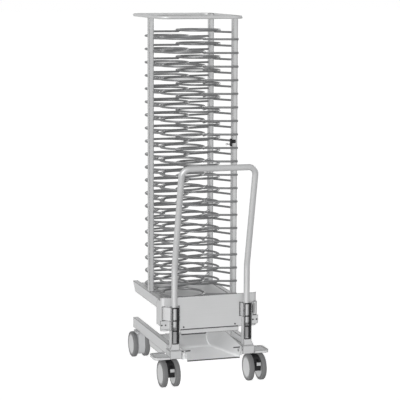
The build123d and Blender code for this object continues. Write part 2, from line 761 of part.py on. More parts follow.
# Casters: a plate with a kingpin, a swivelling web, an axle and two wheels
wheel_inner = wheel_gap / 2
for corner, (x, y, way) in casters.items():
    axle_y = y + way * caster_trail
    braked = corner.startswith("front")

    with BuildPart() as caster_mount:
        with BuildSketch(Plane.XY.offset(plate_bottom)):
            with Locations((x, y)):
                RectangleRounded(plate_size, plate_size, plate_corner)
        extrude(amount=(foot_bottom if braked else chassis_bottom) - plate_bottom)
        with Locations((x, y, plate_bottom)):
            Cylinder(kingpin / 2, kingpin_length, align=high_middle)
    caster_mount.part.label = f"caster_mount_{corner}"
    export_step(caster_mount.part, f"parts/caster_mount_{corner}.step")

    with BuildPart() as caster_fork:
        with BuildSketch(Plane.YZ.offset(x - web_width / 2)):
            with Locations((axle_y, wheel_radius)):
                Circle(web_radius)
            with Locations((axle_y, braked_web_floor if braked else web_floor)):
                Rectangle(
                    2 * web_radius, 2 * web_radius, align=(Align.CENTER, Align.MAX), mode=Mode.SUBTRACT
                )
            with Locations((y, (wheel_radius + crown_bottom) / 2)):
                Rectangle(neck_depth, crown_bottom - wheel_radius)
        extrude(amount=web_width)
        with Locations((x, y, crown_bottom)):
            Cylinder(crown_diameter / 2, crown_thickness, align=low_middle)
        with Locations((x, y, crown_top)):
            Cylinder(
                kingpin / 2 + kingpin_clearance,
                kingpin_length,
                align=high_middle,
                mode=Mode.SUBTRACT,
            )
        with Locations((x, axle_y, wheel_radius)):
            Cylinder(axle_diameter / 2, 2 * web_width, rotation=(0, 90, 0), mode=Mode.SUBTRACT)
        if braked:
            pivot_y = axle_y - pedal_pivot_step
            with Locations((x, axle_y - pedal_room_front, braked_web_floor)):
                Box(
                    2 * web_width,
                    web_radius,
                    pedal_room_top - braked_web_floor,
                    align=(Align.CENTER, Align.MAX, Align.MIN),
                    mode=Mode.SUBTRACT,
                )
            with Locations((x, axle_y - pedal_slot_back, pedal_slot_bottom)):
                Box(
                    pedal_slot,
                    web_radius,
                    pedal_slot_top - pedal_slot_bottom,
                    align=(Align.CENTER, Align.MAX, Align.MIN),
                    mode=Mode.SUBTRACT,
                )
            with Locations((x, pivot_y, pedal_pivot_z)):
                Cylinder(
                    pedal_pin / 2 + pedal_pin_clearance,
                    2 * web_width,
                    rotation=(0, 90, 0),
                    mode=Mode.SUBTRACT,
                )
    caster_fork.part.label = f"caster_fork_{corner}"
    export_step(caster_fork.part, f"parts/caster_fork_{corner}.step")

    with BuildPart() as caster_axle:
        with Locations((x, axle_y, wheel_radius)):
            Cylinder(
                axle_diameter / 2,
                wheel_gap + 2 * (tyre_width - hub_wall - axle_end_gap),
                rotation=(0, 90, 0),
            )
    caster_axle.part.label = f"caster_axle_{corner}"
    export_step(caster_axle.part, f"parts/caster_axle_{corner}.step")

    if braked:
        pad_front = axle_y - pedal_pad_front
        pad_back = pad_front + pedal_pad_thickness
        pad_middle_z = pedal_pad_bottom + pedal_pad_height / 2
        arm_half = pedal_arm / 2
        lever_width = pedal_slot - 2 * pedal_side_gap
        with BuildPart() as brake_pedal:
            with BuildSketch(Plane.YZ.offset(x - lever_width / 2)):
                with Locations((pivot_y, pedal_pivot_z)):
                    Circle(pedal_hub / 2)
                with BuildLine():
                    Polyline(
                        (pivot_y, pedal_pivot_z + arm_half),
                        (pad_back, pad_middle_z + arm_half),
                        (pad_back, pad_middle_z - arm_half),
                        (pivot_y, pedal_pivot_z - arm_half),
                        close=True,
                    )
                make_face()
            extrude(amount=lever_width)
            with Locations((x, (pad_front + pad_back) / 2, pad_middle_z)):
                Box(pedal_pad_width, pedal_pad_thickness, pedal_pad_height)
            with Locations((x, pivot_y, pedal_pivot_z)):
                Cylinder(pedal_pin / 2, web_width - 2 * pedal_pin_end_gap, rotation=(0, 90, 0))
        brake_pedal.part.label = f"brake_pedal_{corner}"
        export_step(brake_pedal.part, f"parts/brake_pedal_{corner}.step")

    for side, sign in sides.items():
        with BuildPart() as wheel_hub:
            with BuildSketch(Plane.YZ.offset(x + sign * wheel_inner)):
                with Locations((axle_y, wheel_radius)):
                    Circle(tyre_inner_radius - tyre_clearance)
            extrude(amount=sign * tyre_width)
            with BuildSketch(Plane.YZ.offset(x + sign * (wheel_inner + tyre_width))):
                with Locations((axle_y, wheel_radius)):
                    Circle(tyre_inner_radius - hub_rim)
            extrude(amount=-sign * hub_dish, mode=Mode.SUBTRACT)
            with BuildSketch(Plane.YZ.offset(x + sign * wheel_inner)):
                with Locations((axle_y, wheel_radius)):
                    Circle(axle_diameter / 2 + axle_clearance)
            extrude(amount=sign * (tyre_width - hub_wall), mode=Mode.SUBTRACT)
        wheel_hub.part.label = f"wheel_hub_{corner}_{side}"
        export_step(wheel_hub.part, f"parts/wheel_hub_{corner}_{side}.step")

        with BuildPart() as tyre:
            with BuildSketch(Plane.YZ.offset(x + sign * wheel_inner)):
                with Locations((axle_y, wheel_radius)):
                    Circle(wheel_radius)
                    Circle(tyre_inner_radius, mode=Mode.SUBTRACT)
            extrude(amount=sign * tyre_width)
            chamfer(tyre.edges().filter_by(GeomType.CIRCLE).sort_by(SortBy.RADIUS)[-2:], tyre_chamfer)
        tyre.part.label = f"tyre_{corner}_{side}"
        export_step(tyre.part, f"parts/tyre_{corner}_{side}.step")

# Probe clip: a block on the post's left flank with a strap round the front and two wire eyes
clip_post_x, clip_post_y = posts["front_right"]
clip_face_x = clip_post_x - post_size / 2
clip_face_y = clip_post_y - post_size / 2
clip_bottom = lowest_ring_z + clip_level * level_pitch + clip_lift
clip_strap_bottom = clip_bottom + clip_strap_lift
clip_stem_z = clip_bottom + clip_stem_lift
with BuildPart() as probe_clip:
    with Locations((clip_face_x, clip_face_y, clip_bottom)):
        Box(clip_block, clip_depth, clip_height, align=(Align.MAX, Align.MIN, Align.MIN))
    with Locations((clip_face_x - clip_block, clip_face_y, clip_strap_bottom)):
        Box(
            clip_block + clip_strap_reach,
            clip_strap,
            clip_strap_height,
            align=(Align.MIN, Align.MAX, Align.MIN),
        )
    eye_y = clip_face_y + clip_depth / 2
    with BuildSketch(Plane.YZ.offset(clip_face_x - clip_block)):
        with Locations((eye_y, clip_stem_z)):
            Circle(clip_stem / 2)
    extrude(amount=-clip_stem_length)
    with Locations((clip_face_x - clip_block - clip_stem_length - clip_eye_radius, eye_y, clip_stem_z)):
        Torus(clip_eye_radius, clip_eye_wire / 2, rotation=(90, 0, 0))
    strap_eye_x = clip_face_x + clip_strap_reach / 4
    strap_eye_z = clip_strap_bottom + clip_strap_height / 2
    with Locations((strap_eye_x, clip_face_y - clip_strap - clip_eye_radius, strap_eye_z)):
        Torus(clip_eye_radius, clip_eye_wire / 2)
probe_clip.part.label = "probe_clip"
export_step(probe_clip.part, "parts/probe_clip.step")
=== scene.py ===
"""Dresses the mobile plate rack: round wires, welds, caps, screws, wheels, pads and finishes."""

from math import cos, pi, radians, sin

import bmesh
import bpy
from mathutils import Matrix, Vector


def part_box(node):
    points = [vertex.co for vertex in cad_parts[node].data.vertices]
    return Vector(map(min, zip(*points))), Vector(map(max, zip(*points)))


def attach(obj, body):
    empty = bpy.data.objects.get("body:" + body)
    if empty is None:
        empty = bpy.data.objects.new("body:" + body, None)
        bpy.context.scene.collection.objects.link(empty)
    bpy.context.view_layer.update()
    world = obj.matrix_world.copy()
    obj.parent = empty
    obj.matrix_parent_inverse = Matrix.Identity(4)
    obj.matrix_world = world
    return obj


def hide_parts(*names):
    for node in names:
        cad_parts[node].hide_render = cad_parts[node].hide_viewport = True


bl_info = {
    "name": "Mobile plate rack",
    "version": (1, 0, 0),
    "blender": (4, 5, 0),
    "location": "View3D > Sidebar > Rack",
    "description": "Builds the wires, welds, wheels and finishes of a mobile plate rack",
    "category": "Object",
}

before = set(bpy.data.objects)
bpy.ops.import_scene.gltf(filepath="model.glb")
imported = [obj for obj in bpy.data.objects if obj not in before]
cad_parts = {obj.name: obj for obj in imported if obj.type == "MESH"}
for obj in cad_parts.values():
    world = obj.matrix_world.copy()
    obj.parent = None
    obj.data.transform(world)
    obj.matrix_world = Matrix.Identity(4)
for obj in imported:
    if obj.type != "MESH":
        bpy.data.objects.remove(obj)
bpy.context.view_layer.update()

MM = 0.001
CORNERS = ("front_left", "front_right", "rear_left", "rear_right")
SIDES = {"left": -1, "right": 1}
POST_NODES = ("post_front_right", "post_rear_right", "post_left")


class RackSizes(bpy.types.PropertyGroup):
    """Sizes of the pieces that dress the rack."""

    levels: bpy.props.IntProperty(
        name="Levels", description="Plate rings in each stack", default=20, min=1
    )
    pitch: bpy.props.FloatProperty(
        name="Level pitch", description="Height from ring to ring", default=0.063, unit="LENGTH"
    )
    ring_radius: bpy.props.FloatProperty(
        name="Ring radius", description="Radius of a ring's wire centre",
        default=0.102, unit="LENGTH",
    )
    wire_radius: bpy.props.FloatProperty(
        name="Wire radius", description="Half the thickness of a ring wire",
        default=0.005, unit="LENGTH",
    )
    wire_bend: bpy.props.FloatProperty(
        name="Wire bend", description="Bend radius where a wire turns along a post",
        default=0.016, unit="LENGTH",
    )
    bead_radius: bpy.props.FloatProperty(
        name="Bead radius", description="Size of the weld beads on the posts",
        default=0.0052, unit="LENGTH",
    )
    cap_height: bpy.props.FloatProperty(
        name="Cap height", description="Height of the caps in the posts",
        default=0.0015, unit="LENGTH",
    )
    screw_radius: bpy.props.FloatProperty(
        name="Screw radius", description="Half the width of a screw head",
        default=0.004, unit="LENGTH",
    )
    screw_height: bpy.props.FloatProperty(
        name="Screw height", description="Height of a screw head", default=0.0022, unit="LENGTH"
    )
    # Painted shade: the dark lines along the hem and the wings are this wide.
    shade_line_radius: bpy.props.FloatProperty(
        name="Shade line radius", description="Half the width of the dark edge seams",
        default=0.002, unit="LENGTH",
    )
    # Painted shade and highlight: the tray's dark edge lines and its bright fold line are this
    # wide.
    tray_line_radius: bpy.props.FloatProperty(
        name="Tray line radius", description="Half the width of the tray's trim and fold",
        default=0.003, unit="LENGTH",
    )
    pad_ribs: bpy.props.IntProperty(
        name="Pad ribs", description="Grip ribs on a brake pad", default=5, min=1
    )


class RackFinishes(bpy.types.PropertyGroup):
    """Colours of the rack's finishes."""

    steel: bpy.props.FloatVectorProperty(
        name="Satin steel", description="Sheet, rails, posts and tube", subtype="COLOR",
        size=3, default=(0.49, 0.493, 0.496), min=0, max=1,
    )
    wire: bpy.props.FloatVectorProperty(
        name="Ring wire", description="Drawn wire of the plate rings", subtype="COLOR",
        size=3, default=(0.165, 0.167, 0.17), min=0, max=1,
    )
    tyre: bpy.props.FloatVectorProperty(
        name="Tyre", description="Grey tyre rubber", subtype="COLOR",
        size=3, default=(0.135, 0.136, 0.138), min=0, max=1,
    )
    disc: bpy.props.FloatVectorProperty(
        name="Wheel disc", description="Pale plastic of the wheel discs", subtype="COLOR",
        size=3, default=(0.48, 0.483, 0.486), min=0, max=1,
    )
    housing: bpy.props.FloatVectorProperty(
        name="Caster housing", description="Plastic between the wheels", subtype="COLOR",
        size=3, default=(0.42, 0.425, 0.43), min=0, max=1,
    )
    # The socket liners in this colour are painted shade inside the handle's slots.
    black: bpy.props.FloatVectorProperty(
        name="Black plastic", description="Brake levers, socket liners and probe clip",
        subtype="COLOR", size=3, default=(0.01, 0.01, 0.011), min=0, max=1,
    )


# Meshes


def mm(*values):
    """Lengths in millimetres, as a point in metres."""
    return tuple(value * MM for value in values)


def middle(node):
    """Centre of a CAD node's box."""
    low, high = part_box(node)
    return (low + high) / 2


def new_piece(name, mesh):
    """Object for a finished mesh, in the scene and at the origin."""
    piece = bpy.data.objects.new(name, mesh)
    bpy.context.scene.collection.objects.link(piece)
    return piece


def mesh_of(name, verts, edges=(), faces=()):
    """Mesh from plain lists."""
    mesh = bpy.data.meshes.new(name)
    mesh.from_pydata(verts, edges, faces)
    mesh.update()
    return mesh


def add_run(verts, edges, run):
    """Add a polyline to lists of points and edges."""
    start = len(verts)
    verts.extend(run)
    edges.extend((start + step, start + step + 1) for step in range(len(run) - 1))


def lathe(name, profile, centre, way, segments=96):
    """Solid turned about an X axis. Profile points are (reach along X, radius)."""
    verts, rings, faces = [], [], []
    for reach, radius in profile:
        if radius < 1e-6:
            rings.append([len(verts)])
            verts.append((centre[0] + way * reach, centre[1], centre[2]))
            continue
        rings.append([len(verts) + step for step in range(segments)])
        for step in range(segments):
            turn = 2 * pi * step / segments
            verts.append((
                centre[0] + way * reach,
                centre[1] + radius * cos(turn),
                centre[2] + radius * sin(turn),
            ))
    pairs = list(zip(rings, rings[1:]))
    if len(rings[0]) > 1 and len(rings[-1]) > 1:
        pairs.append((rings[-1], rings[0]))
    for first, second in pairs:
        for step in range(segments):
            after = (step + 1) % segments
            corners = [
                first[step % len(first)],
                first[after % len(first)],
                second[after % len(second)],
                second[step % len(second)],
            ]
            faces.append(list(dict.fromkeys(corners)))
    mesh = mesh_of(name, verts, faces=faces)
    work = bmesh.new()
    work.from_mesh(mesh)
    bmesh.ops.recalc_face_normals(work, faces=work.faces)
    work.to_mesh(mesh)
    work.free()
    mesh.shade_smooth()
    mesh.set_sharp_from_angle(angle=radians(35))
    return mesh


def bevelled_box(work, low, high, width):
    """Box with rounded edges, added to a bmesh."""
    made = bmesh.ops.create_cube(work, size=1.0)
    size = Vector(high) - Vector(low)
    bmesh.ops.scale(work, vec=size, verts=made["verts"])
    bmesh.ops.translate(work, vec=(Vector(low) + Vector(high)) / 2, verts=made["verts"])
    edges = list({edge for vert in made["verts"] for edge in vert.link_edges})
    bmesh.ops.bevel(work, geom=edges, offset=width, segments=2, affect="EDGES", profile=0.5)


def boxed_mesh(name, boxes):
    """Mesh of bevelled boxes, each given by its low corner, high corner and bevel."""
    work = bmesh.new()
    for low, high, width in boxes:
        bevelled_box(work, low, high, width)
    mesh = bpy.data.meshes.new(name)
    work.to_mesh(mesh)
    work.free()
    return mesh


# Geometry Nodes


def new_tree(name, inputs):
    """Node tree with a geometry input and output and the named inputs given."""
    tree = bpy.data.node_groups.new(name, "GeometryNodeTree")
    tree.interface.new_socket("Geometry", in_out="INPUT", socket_type="NodeSocketGeometry")
    for label, kind in inputs:
        tree.interface.new_socket(label, in_out="INPUT", socket_type=kind)
    tree.interface.new_socket("Geometry", in_out="OUTPUT", socket_type="NodeSocketGeometry")
    return tree, tree.nodes.new("NodeGroupInput"), tree.nodes.new("NodeGroupOutput")


def end_tree(tree, geometry, material, group_out, smooth=True):
    """Realize the instances, smooth them if asked, give the material and leave the tree."""
    realize = tree.nodes.new("GeometryNodeRealizeInstances")
    tree.links.new(geometry, realize.inputs["Geometry"])
    shape = realize.outputs["Geometry"]
    if smooth:
        shade = tree.nodes.new("GeometryNodeSetShadeSmooth")
        tree.links.new(shape, shade.inputs["Geometry"])
        shape = shade.outputs["Geometry"]
    coat = tree.nodes.new("GeometryNodeSetMaterial")
    tree.links.new(shape, coat.inputs["Geometry"])
    tree.links.new(material, coat.inputs["Material"])
    tree.links.new(coat.outputs["Geometry"], group_out.inputs[0])


def stack_up(tree, geometry, group_in):
    """Copy geometry to every level of the tower."""
    rise = tree.nodes.new("ShaderNodeCombineXYZ")
    line = tree.nodes.new("GeometryNodeMeshLine")
    copies = tree.nodes.new("GeometryNodeInstanceOnPoints")
    tree.links.new(group_in.outputs["Pitch"], rise.inputs["Z"])
    tree.links.new(group_in.outputs["Levels"], line.inputs["Count"])
    tree.links.new(rise.outputs["Vector"], line.inputs["Offset"])
    tree.links.new(line.outputs["Mesh"], copies.inputs["Points"])
    tree.links.new(geometry, copies.inputs["Instance"])
    return copies.outputs["Instances"]


def wire_tree():
    """Lines become round wires, repeated at every level."""
    tree, group_in, group_out = new_tree("Ring wires", [
        ("Levels", "NodeSocketInt"),
        ("Pitch", "NodeSocketFloat"),
        ("Wire Radius", "NodeSocketFloat"),
        ("Wire Sides", "NodeSocketInt"),
        ("Finish", "NodeSocketMaterial"),
    ])
    curve = tree.nodes.new("GeometryNodeMeshToCurve")
    section = tree.nodes.new("GeometryNodeCurvePrimitiveCircle")
    tube = tree.nodes.new("GeometryNodeCurveToMesh")
    tube.inputs["Fill Caps"].default_value = True
    tree.links.new(group_in.outputs["Geometry"], curve.inputs["Mesh"])
    tree.links.new(group_in.outputs["Wire Radius"], section.inputs["Radius"])
    tree.links.new(group_in.outputs["Wire Sides"], section.inputs["Resolution"])
    tree.links.new(curve.outputs["Curve"], tube.inputs["Curve"])
    tree.links.new(section.outputs["Curve"], tube.inputs["Profile Curve"])
    copies = stack_up(tree, tube.outputs["Mesh"], group_in)
    end_tree(tree, copies, group_in.outputs["Finish"], group_out)
    return tree


def bead_tree():
    """A small weld bead on every point, repeated at every level."""
    tree, group_in, group_out = new_tree("Weld beads", [
        ("Levels", "NodeSocketInt"),
        ("Pitch", "NodeSocketFloat"),
        ("Bead Radius", "NodeSocketFloat"),
        ("Finish", "NodeSocketMaterial"),
    ])
    bead = tree.nodes.new("GeometryNodeMeshIcoSphere")
    bead.inputs["Subdivisions"].default_value = 2
    scatter = tree.nodes.new("GeometryNodeInstanceOnPoints")
    shape = tree.nodes.new("FunctionNodeRandomValue")
    shape.data_type = "FLOAT_VECTOR"
    shape.inputs["Min"].default_value = (0.85, 0.85, 0.7)
    shape.inputs["Max"].default_value = (1.15, 1.15, 0.95)
    shape.inputs["Seed"].default_value = 7
    tree.links.new(group_in.outputs["Bead Radius"], bead.inputs["Radius"])
    tree.links.new(group_in.outputs["Geometry"], scatter.inputs["Points"])
    tree.links.new(bead.outputs["Mesh"], scatter.inputs["Instance"])
    tree.links.new(shape.outputs["Value"], scatter.inputs["Scale"])
    copies = stack_up(tree, scatter.outputs["Instances"], group_in)
    end_tree(tree, copies, group_in.outputs["Finish"], group_out)
    return tree


def screw_tree():
    """A screw head on every point."""
    tree, group_in, group_out = new_tree("Screw heads", [
        ("Screw", "NodeSocketObject"),
        ("Finish", "NodeSocketMaterial"),
    ])
    head = tree.nodes.new("GeometryNodeObjectInfo")
    scatter = tree.nodes.new("GeometryNodeInstanceOnPoints")
    tree.links.new(group_in.outputs["Screw"], head.inputs["Object"])
    tree.links.new(group_in.outputs["Geometry"], scatter.inputs["Points"])
    tree.links.new(head.outputs["Geometry"], scatter.inputs["Instance"])
    copies = scatter.outputs["Instances"]
    end_tree(tree, copies, group_in.outputs["Finish"], group_out, smooth=False)
    return tree


def rib_tree():
    """Grip ribs in a row up the face of a pad."""
    tree, group_in, group_out = new_tree("Pad ribs", [
        ("Ribs", "NodeSocketInt"),
        ("First Rib", "NodeSocketVector"),
        ("Rib Step", "NodeSocketFloat"),
        ("Rib Length", "NodeSocketFloat"),
        ("Rib Radius", "NodeSocketFloat"),
        ("Finish", "NodeSocketMaterial"),
    ])
    rise = tree.nodes.new("ShaderNodeCombineXYZ")
    line = tree.nodes.new("GeometryNodeMeshLine")
    rib = tree.nodes.new("GeometryNodeMeshCylinder")
    rib.inputs["Vertices"].default_value = 10
    scatter = tree.nodes.new("GeometryNodeInstanceOnPoints")
    scatter.inputs["Rotation"].default_value = (0, pi / 2, 0)
    join = tree.nodes.new("GeometryNodeJoinGeometry")
    tree.links.new(group_in.outputs["Rib Step"], rise.inputs["Z"])
    tree.links.new(group_in.outputs["Ribs"], line.inputs["Count"])
    tree.links.new(group_in.outputs["First Rib"], line.inputs["Start Location"])
    tree.links.new(rise.outputs["Vector"], line.inputs["Offset"])
    tree.links.new(group_in.outputs["Rib Radius"], rib.inputs["Radius"])
    tree.links.new(group_in.outputs["Rib Length"], rib.inputs["Depth"])
    tree.links.new(line.outputs["Mesh"], scatter.inputs["Points"])
    tree.links.new(rib.outputs["Mesh"], scatter.inputs["Instance"])
    tree.links.new(scatter.outputs["Instances"], join.inputs["Geometry"])
    tree.links.new(group_in.outputs["Geometry"], join.inputs["Geometry"])
    pad = join.outputs["Geometry"]
    end_tree(tree, pad, group_in.outputs["Finish"], group_out, smooth=False)
    return tree


def grown(name, base, tree, values):
    """Run a tree on a base mesh and keep the result as a plain mesh."""
    piece = new_piece(name, base)
    growth = piece.modifiers.new("Growth", "NODES")
    growth.node_group = tree
    for item in tree.interface.items_tree:
        if item.in_out == "INPUT" and item.name in values:
            growth[item.identifier] = values[item.name]
    shapes = bpy.context.evaluated_depsgraph_get()
    shapes.update()
    result = bpy.data.meshes.new_from_object(piece.evaluated_get(shapes))
    piece.modifiers.clear()
    piece.data = result
    result.name = name
    return piece


# Finishes

# Sockets of a Mix node that is set to colours
MIX_SHARE, MIX_FIRST, MIX_SECOND, MIX_RESULT = 0, 6, 7, 2

# Grain: how closely its lines lie along each axis
ACROSS = (6, 700, 700)
LENGTHWAYS = (700, 6, 700)
UPWARDS = (700, 700, 6)
DRAWN = (300, 300, 300)
FINE = (900, 900, 900)
CLOUD_SIZE = 7.0
RELIEF_DEPTH = 0.0002

SATIN = {"metallic": 0.3, "rough": (0.4, 0.52)}
# Painted shade: colour of the dark lines put where shade falls, also used for the screw heads.
SHADE_LINE_COLOUR = (0.05, 0.05, 0.052)
# Painted highlight: colour of the bright line along the tray's fold.
FOLD_HIGHLIGHT_COLOUR = (0.6, 0.605, 0.61)
ZINC_COLOUR = (0.38, 0.385, 0.39)
FLOOR_LIGHT_COLOUR = (0.88, 0.885, 0.89, 1)

# Heights over the pan's floor at which the painted light starts to fade and ends, in millimetres
FLOOR_LIGHT_FULL, FLOOR_LIGHT_END = 3, 11


def scaled(colour, factor):
    """Colour made lighter or darker by a factor."""
    return tuple(factor * part for part in colour)


def grain_group():
    """Shader group: fine lines along one direction and slow clouds over the whole surface."""
    group = bpy.data.node_groups.new("Surface grain", "ShaderNodeTree")
    group.interface.new_socket("Stretch", in_out="INPUT", socket_type="NodeSocketVector")
    group.interface.new_socket("Cloud Size", in_out="INPUT", socket_type="NodeSocketFloat")
    group.interface.new_socket("Lines", in_out="OUTPUT", socket_type="NodeSocketFloat")
    group.interface.new_socket("Clouds", in_out="OUTPUT", socket_type="NodeSocketFloat")
    group.interface.new_socket("Mixed", in_out="OUTPUT", socket_type="NodeSocketFloat")
    group_in = group.nodes.new("NodeGroupInput")
    group_out = group.nodes.new("NodeGroupOutput")
    place = group.nodes.new("ShaderNodeTexCoord")
    stretch = group.nodes.new("ShaderNodeVectorMath")
    stretch.operation = "MULTIPLY"
    lines = group.nodes.new("ShaderNodeTexNoise")
    lines.inputs["Scale"].default_value = 1.0
    lines.inputs["Detail"].default_value = 4.0
    clouds = group.nodes.new("ShaderNodeTexNoise")
    clouds.inputs["Detail"].default_value = 3.0
    blend = group.nodes.new("ShaderNodeMath")
    blend.operation = "MULTIPLY_ADD"
    blend.inputs[1].default_value = 0.5
    half = group.nodes.new("ShaderNodeMath")
    half.operation = "MULTIPLY"
    half.inputs[1].default_value = 0.5
    group.links.new(place.outputs["Object"], stretch.inputs[0])
    group.links.new(group_in.outputs["Stretch"], stretch.inputs[1])
    group.links.new(stretch.outputs["Vector"], lines.inputs["Vector"])
    group.links.new(place.outputs["Object"], clouds.inputs["Vector"])
    group.links.new(group_in.outputs["Cloud Size"], clouds.inputs["Scale"])
    group.links.new(clouds.outputs[0], half.inputs[0])
    group.links.new(lines.outputs[0], blend.inputs[0])
    group.links.new(half.outputs[0], blend.inputs[2])
    group.links.new(lines.outputs[0], group_out.inputs["Lines"])
    group.links.new(clouds.outputs[0], group_out.inputs["Clouds"])
    group.links.new(blend.outputs[0], group_out.inputs["Mixed"])
    return group


def edge_group():
    """Shader group: 1 along sharp edges and folds, 0 on open faces, the mask for painted edge
    shade.
    """
    group = bpy.data.node_groups.new("Edge lines", "ShaderNodeTree")
    group.interface.new_socket("Width", in_out="INPUT", socket_type="NodeSocketFloat")
    group.interface.new_socket("Edge", in_out="OUTPUT", socket_type="NodeSocketFloat")
    group_in = group.nodes.new("NodeGroupInput")
    group_out = group.nodes.new("NodeGroupOutput")
    soft = group.nodes.new("ShaderNodeBevel")
    soft.samples = 6
    face = group.nodes.new("ShaderNodeNewGeometry")
    match = group.nodes.new("ShaderNodeVectorMath")
    match.operation = "DOT_PRODUCT"
    edge = group.nodes.new("ShaderNodeMapRange")
    edge.inputs["From Min"].default_value = 0.99
    edge.inputs["From Max"].default_value = 0.92
    group.links.new(group_in.outputs["Width"], soft.inputs["Radius"])
    group.links.new(soft.outputs["Normal"], match.inputs[0])
    group.links.new(face.outputs["Normal"], match.inputs[1])
    group.links.new(match.outputs["Value"], edge.inputs["Value"])
    group.links.new(edge.outputs["Result"], group_out.inputs["Edge"])
    return group


def finish(
    name, colour, metallic, rough, stretch, spread=0.12, bump=0.08, edge=0.0, edge_width=5.0
):
    """Material whose tone, gloss and relief follow the grain group, with painted shade darkening
    it along its edges.
    """
    grain = bpy.data.node_groups.get("Surface grain") or grain_group()
    material = bpy.data.materials.new(name)
    material.use_nodes = True
    nodes, links = material.node_tree.nodes, material.node_tree.links
    shader = nodes["Principled BSDF"]
    shader.inputs["Metallic"].default_value = metallic
    group = nodes.new("ShaderNodeGroup")
    group.node_tree = grain
    group.inputs["Stretch"].default_value = stretch
    group.inputs["Cloud Size"].default_value = CLOUD_SIZE
    tone = nodes.new("ShaderNodeMix")
    tone.data_type = "RGBA"
    tone.inputs[MIX_FIRST].default_value = [c * (1 - spread) for c in colour] + [1]
    tone.inputs[MIX_SECOND].default_value = [min(1, c * (1 + spread)) for c in colour] + [1]
    gloss = nodes.new("ShaderNodeMapRange")
    gloss.inputs["From Min"].default_value = 0.3
    gloss.inputs["From Max"].default_value = 0.7
    gloss.inputs["To Min"].default_value = rough[0]
    gloss.inputs["To Max"].default_value = rough[1]
    relief = nodes.new("ShaderNodeBump")
    relief.inputs["Strength"].default_value = bump
    relief.inputs["Distance"].default_value = RELIEF_DEPTH
    links.new(group.outputs["Mixed"], tone.inputs[MIX_SHARE])
    if edge:
        line = nodes.new("ShaderNodeGroup")
        line.node_tree = bpy.data.node_groups.get("Edge lines") or edge_group()
        line.inputs["Width"].default_value = edge_width * MM
        # Painted shade: the base colour is darkened along sharp edges and folds, by the share
        # given as edge.
        edge_shade = nodes.new("ShaderNodeMix")
        edge_shade.data_type = "RGBA"
        edge_shade.blend_type = "MULTIPLY"
        edge_shade.inputs[MIX_SECOND].default_value = (1 - edge, 1 - edge, 1 - edge, 1)
        links.new(line.outputs["Edge"], edge_shade.inputs[MIX_SHARE])
        links.new(tone.outputs[MIX_RESULT], edge_shade.inputs[MIX_FIRST])
        links.new(edge_shade.outputs[MIX_RESULT], shader.inputs["Base Color"])
    else:
        links.new(tone.outputs[MIX_RESULT], shader.inputs["Base Color"])
    links.new(group.outputs["Clouds"], gloss.inputs["Value"])
    links.new(gloss.outputs["Result"], shader.inputs["Roughness"])
    links.new(group.outputs["Lines"], relief.inputs["Height"])
    links.new(relief.outputs["Normal"], shader.inputs["Normal"])
    return material


def paint_floor_light(material, floor_z):
    """Paint light on a pan's floor: its finish turns near white just over the floor."""
    nodes, links = material.node_tree.nodes, material.node_tree.links
    base = nodes["Principled BSDF"].inputs["Base Color"]
    place = nodes.new("ShaderNodeTexCoord")
    height = nodes.new("ShaderNodeSeparateXYZ")
    near = nodes.new("ShaderNodeMapRange")
    near.inputs["From Min"].default_value = floor_z + FLOOR_LIGHT_FULL * MM
    near.inputs["From Max"].default_value = floor_z + FLOOR_LIGHT_END * MM
    near.inputs["To Min"].default_value = 1.0
    near.inputs["To Max"].default_value = 0.0
    # Painted light: the floor's colour is mixed towards near white.
    bright = nodes.new("ShaderNodeMix")
    bright.data_type = "RGBA"
    bright.inputs[MIX_SECOND].default_value = FLOOR_LIGHT_COLOUR
    links.new(place.outputs["Object"], height.inputs[0])
    links.new(height.outputs["Z"], near.inputs["Value"])
    links.new(near.outputs["Result"], bright.inputs[MIX_SHARE])
    links.new(base.links[0].from_socket, bright.inputs[MIX_FIRST])
    links.new(bright.outputs[MIX_RESULT], base)


def finish_of(node):
    """Finish that a CAD node was given."""
    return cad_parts[node].data.materials[0]


